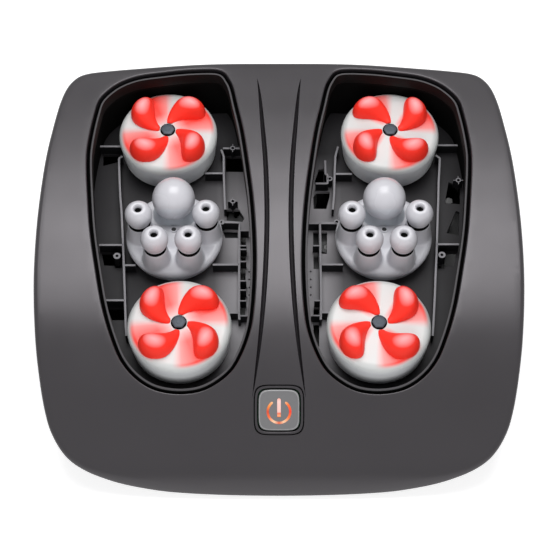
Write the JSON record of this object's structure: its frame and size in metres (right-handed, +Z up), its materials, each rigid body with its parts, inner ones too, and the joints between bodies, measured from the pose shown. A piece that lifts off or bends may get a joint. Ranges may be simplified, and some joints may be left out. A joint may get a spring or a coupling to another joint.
{
  "type": "shiatsu foot massager",
  "caption": "Arched foot massager with foot wells whose motor turns massage discs with knobs, balls and warm red nodes, and a power button on its front slope",
  "frame": {"origin": "centre of the footprint, on the surface that the rubber feet stand on", "axes": "+X to the user's right hand as seen from the button's side, +Y from the button's end to the toe end, +Z up"},
  "size_m": [0.393, 0.3652, 0.0995],
  "materials": {
    "casing": "graphite grey moulded plastic, satin with a soft sheen",
    "inner_plastic": "black moulded plastic",
    "disc": "pale grey moulded plastic, satin",
    "knob": "light grey moulded plastic, polished",
    "node": "bright red moulded plastic, polished",
    "gear": "black acetal",
    "steel": "plated steel can",
    "foot": "black rubber",
    "button": "mid grey plastic with an orange and red power mark in a white ring",
    "board": "green circuit board",
    "heater": "flexible heating film"
  },
  "bodies": {
    "casing": {"top_cover": "casing", "base_pan": "inner_plastic", "left_chassis": "inner_plastic", "right_chassis": "inner_plastic", "left_well_frame": "inner_plastic", "right_well_frame": "inner_plastic", "left_well_wall": "inner_plastic", "right_well_wall": "inner_plastic", "power_bezel": "inner_plastic", "control_board": "board", "dc_inlet": "inner_plastic", "foot_front_left": "foot", "foot_front_right": "foot", "foot_rear_left": "foot", "foot_rear_right": "foot", "motor_can": "steel", "motor_bracket": "inner_plastic", "worm_bearing_front": "gear", "worm_bearing_rear": "gear", "left_rear_heat_ring": "heater", "left_front_heat_ring": "heater", "right_rear_heat_ring": "heater", "right_front_heat_ring": "heater"},
    "left_middle_disc": {"left_mid_spindle_gear": "gear", "left_mid_dish": "disc", "left_big_ball": "knob"},
    "left_rear_disc": {"left_rear_spindle_gear": "gear", "left_rear_heated_disc": "disc", "left_rear_nodes": "node"},
    "left_front_disc": {"left_front_spindle_gear": "gear", "left_front_heated_disc": "disc", "left_front_nodes": "node"},
    "left_rear_idler": {"left_rear_idler": "gear"},
    "left_front_idler": {"left_front_idler": "gear"},
    "left_worm_wheel": {"left_worm_wheel": "gear"},
    "left_knob_1": {"left_knob_1": "knob"},
    "left_knob_2": {"left_knob_2": "knob"},
    "left_knob_3": {"left_knob_3": "knob"},
    "left_knob_4": {"left_knob_4": "knob"},
    "right_middle_disc": {"right_mid_spindle_gear": "gear", "right_mid_dish": "disc", "right_big_ball": "knob"},
    "right_rear_disc": {"right_rear_spindle_gear": "gear", "right_rear_heated_disc": "disc", "right_rear_nodes": "node"},
    "right_front_disc": {"right_front_spindle_gear": "gear", "right_front_heated_disc": "disc", "right_front_nodes": "node"},
    "right_rear_idler": {"right_rear_idler": "gear"},
    "right_front_idler": {"right_front_idler": "gear"},
    "right_worm_wheel": {"right_worm_wheel": "gear"},
    "right_knob_1": {"right_knob_1": "knob"},
    "right_knob_2": {"right_knob_2": "knob"},
    "right_knob_3": {"right_knob_3": "knob"},
    "right_knob_4": {"right_knob_4": "knob"},
    "worm": {"worm_shaft": "gear"},
    "button": {"power_button": "button"}
  },
  "joints": [
    {"name": "left_middle_disc_spin", "type": "hinge", "parent": "casing", "child": "left_middle_disc", "pos_m": [-0.0875, 0.0315, 0.05], "axis": [0, 0, 1], "continuous": true},
    {"name": "left_rear_disc_spin", "type": "hinge", "parent": "casing", "child": "left_rear_disc", "pos_m": [-0.09508, 0.1257, 0.05], "axis": [0, 0, 1], "continuous": true},
    {"name": "left_front_disc_spin", "type": "hinge", "parent": "casing", "child": "left_front_disc", "pos_m": [-0.07992, -0.0627, 0.05], "axis": [0, 0, 1], "continuous": true},
    {"name": "left_rear_idler_spin", "type": "hinge", "parent": "casing", "child": "left_rear_idler", "pos_m": [-0.09129, 0.0786, 0.018], "axis": [0, 0, 1], "continuous": true},
    {"name": "left_front_idler_spin", "type": "hinge", "parent": "casing", "child": "left_front_idler", "pos_m": [-0.08371, -0.0156, 0.018], "axis": [0, 0, 1], "continuous": true},
    {"name": "left_worm_wheel_spin", "type": "hinge", "parent": "casing", "child": "left_worm_wheel", "pos_m": [-0.04025, 0.0315, 0.03], "axis": [0, 0, 1], "continuous": true},
    {"name": "left_knob_1_spin", "type": "hinge", "parent": "left_middle_disc", "child": "left_knob_1", "pos_m": [-0.1152, 0.0315, 0.086], "axis": [0, 0, 1], "continuous": true},
    {"name": "left_knob_2_spin", "type": "hinge", "parent": "left_middle_disc", "child": "left_knob_2", "pos_m": [-0.05982, 0.03247, 0.086], "axis": [0, 0, 1], "continuous": true},
    {"name": "left_knob_3_spin", "type": "hinge", "parent": "left_middle_disc", "child": "left_knob_3", "pos_m": [-0.10135, 0.00751, 0.086], "axis": [0, 0, 1], "continuous": true},
    {"name": "left_knob_4_spin", "type": "hinge", "parent": "left_middle_disc", "child": "left_knob_4", "pos_m": [-0.07365, 0.00751, 0.086], "axis": [0, 0, 1], "continuous": true},
    {"name": "right_middle_disc_spin", "type": "hinge", "parent": "casing", "child": "right_middle_disc", "pos_m": [0.0875, 0.0315, 0.05], "axis": [0, 0, 1], "continuous": true},
    {"name": "right_rear_disc_spin", "type": "hinge", "parent": "casing", "child": "right_rear_disc", "pos_m": [0.09508, 0.1257, 0.05], "axis": [0, 0, 1], "continuous": true},
    {"name": "right_front_disc_spin", "type": "hinge", "parent": "casing", "child": "right_front_disc", "pos_m": [0.07992, -0.0627, 0.05], "axis": [0, 0, 1], "continuous": true},
    {"name": "right_rear_idler_spin", "type": "hinge", "parent": "casing", "child": "right_rear_idler", "pos_m": [0.09129, 0.0786, 0.018], "axis": [0, 0, 1], "continuous": true},
    {"name": "right_front_idler_spin", "type": "hinge", "parent": "casing", "child": "right_front_idler", "pos_m": [0.08371, -0.0156, 0.018], "axis": [0, 0, 1], "continuous": true},
    {"name": "right_worm_wheel_spin", "type": "hinge", "parent": "casing", "child": "right_worm_wheel", "pos_m": [0.04025, 0.0315, 0.03], "axis": [0, 0, 1], "continuous": true},
    {"name": "right_knob_1_spin", "type": "hinge", "parent": "right_middle_disc", "child": "right_knob_1", "pos_m": [0.0598, 0.0315, 0.086], "axis": [0, 0, 1], "continuous": true},
    {"name": "right_knob_2_spin", "type": "hinge", "parent": "right_middle_disc", "child": "right_knob_2", "pos_m": [0.11518, 0.03247, 0.086], "axis": [0, 0, 1], "continuous": true},
    {"name": "right_knob_3_spin", "type": "hinge", "parent": "right_middle_disc", "child": "right_knob_3", "pos_m": [0.07365, 0.00751, 0.086], "axis": [0, 0, 1], "continuous": true},
    {"name": "right_knob_4_spin", "type": "hinge", "parent": "right_middle_disc", "child": "right_knob_4", "pos_m": [0.10135, 0.00751, 0.086], "axis": [0, 0, 1], "continuous": true},
    {"name": "worm_spin", "type": "hinge", "parent": "casing", "child": "worm", "pos_m": [0, 0.0315, 0.03], "axis": [0, 1, 0], "continuous": true},
    {"name": "power_button_press", "type": "slide", "parent": "casing", "child": "button", "axis": [0, 0.5157, -0.8568], "range_m": [0, 0.0012], "stiffness_N_per_m": 1500, "springref_m": -0.0006}
  ],
  "couplings": [
    {"joint": "left_rear_disc_spin", "follows": "left_middle_disc_spin", "ratio": 1},
    {"joint": "left_front_disc_spin", "follows": "left_middle_disc_spin", "ratio": 1},
    {"joint": "left_rear_idler_spin", "follows": "left_middle_disc_spin", "ratio": -2},
    {"joint": "left_front_idler_spin", "follows": "left_middle_disc_spin", "ratio": -2},
    {"joint": "left_worm_wheel_spin", "follows": "left_middle_disc_spin", "ratio": -2},
    {"joint": "right_middle_disc_spin", "follows": "left_middle_disc_spin", "ratio": -1},
    {"joint": "right_rear_disc_spin", "follows": "left_middle_disc_spin", "ratio": -1},
    {"joint": "right_front_disc_spin", "follows": "left_middle_disc_spin", "ratio": -1},
    {"joint": "right_rear_idler_spin", "follows": "left_middle_disc_spin", "ratio": 2},
    {"joint": "right_front_idler_spin", "follows": "left_middle_disc_spin", "ratio": 2},
    {"joint": "right_worm_wheel_spin", "follows": "left_middle_disc_spin", "ratio": 2},
    {"joint": "worm_spin", "follows": "left_middle_disc_spin", "ratio": 48}
  ]
}
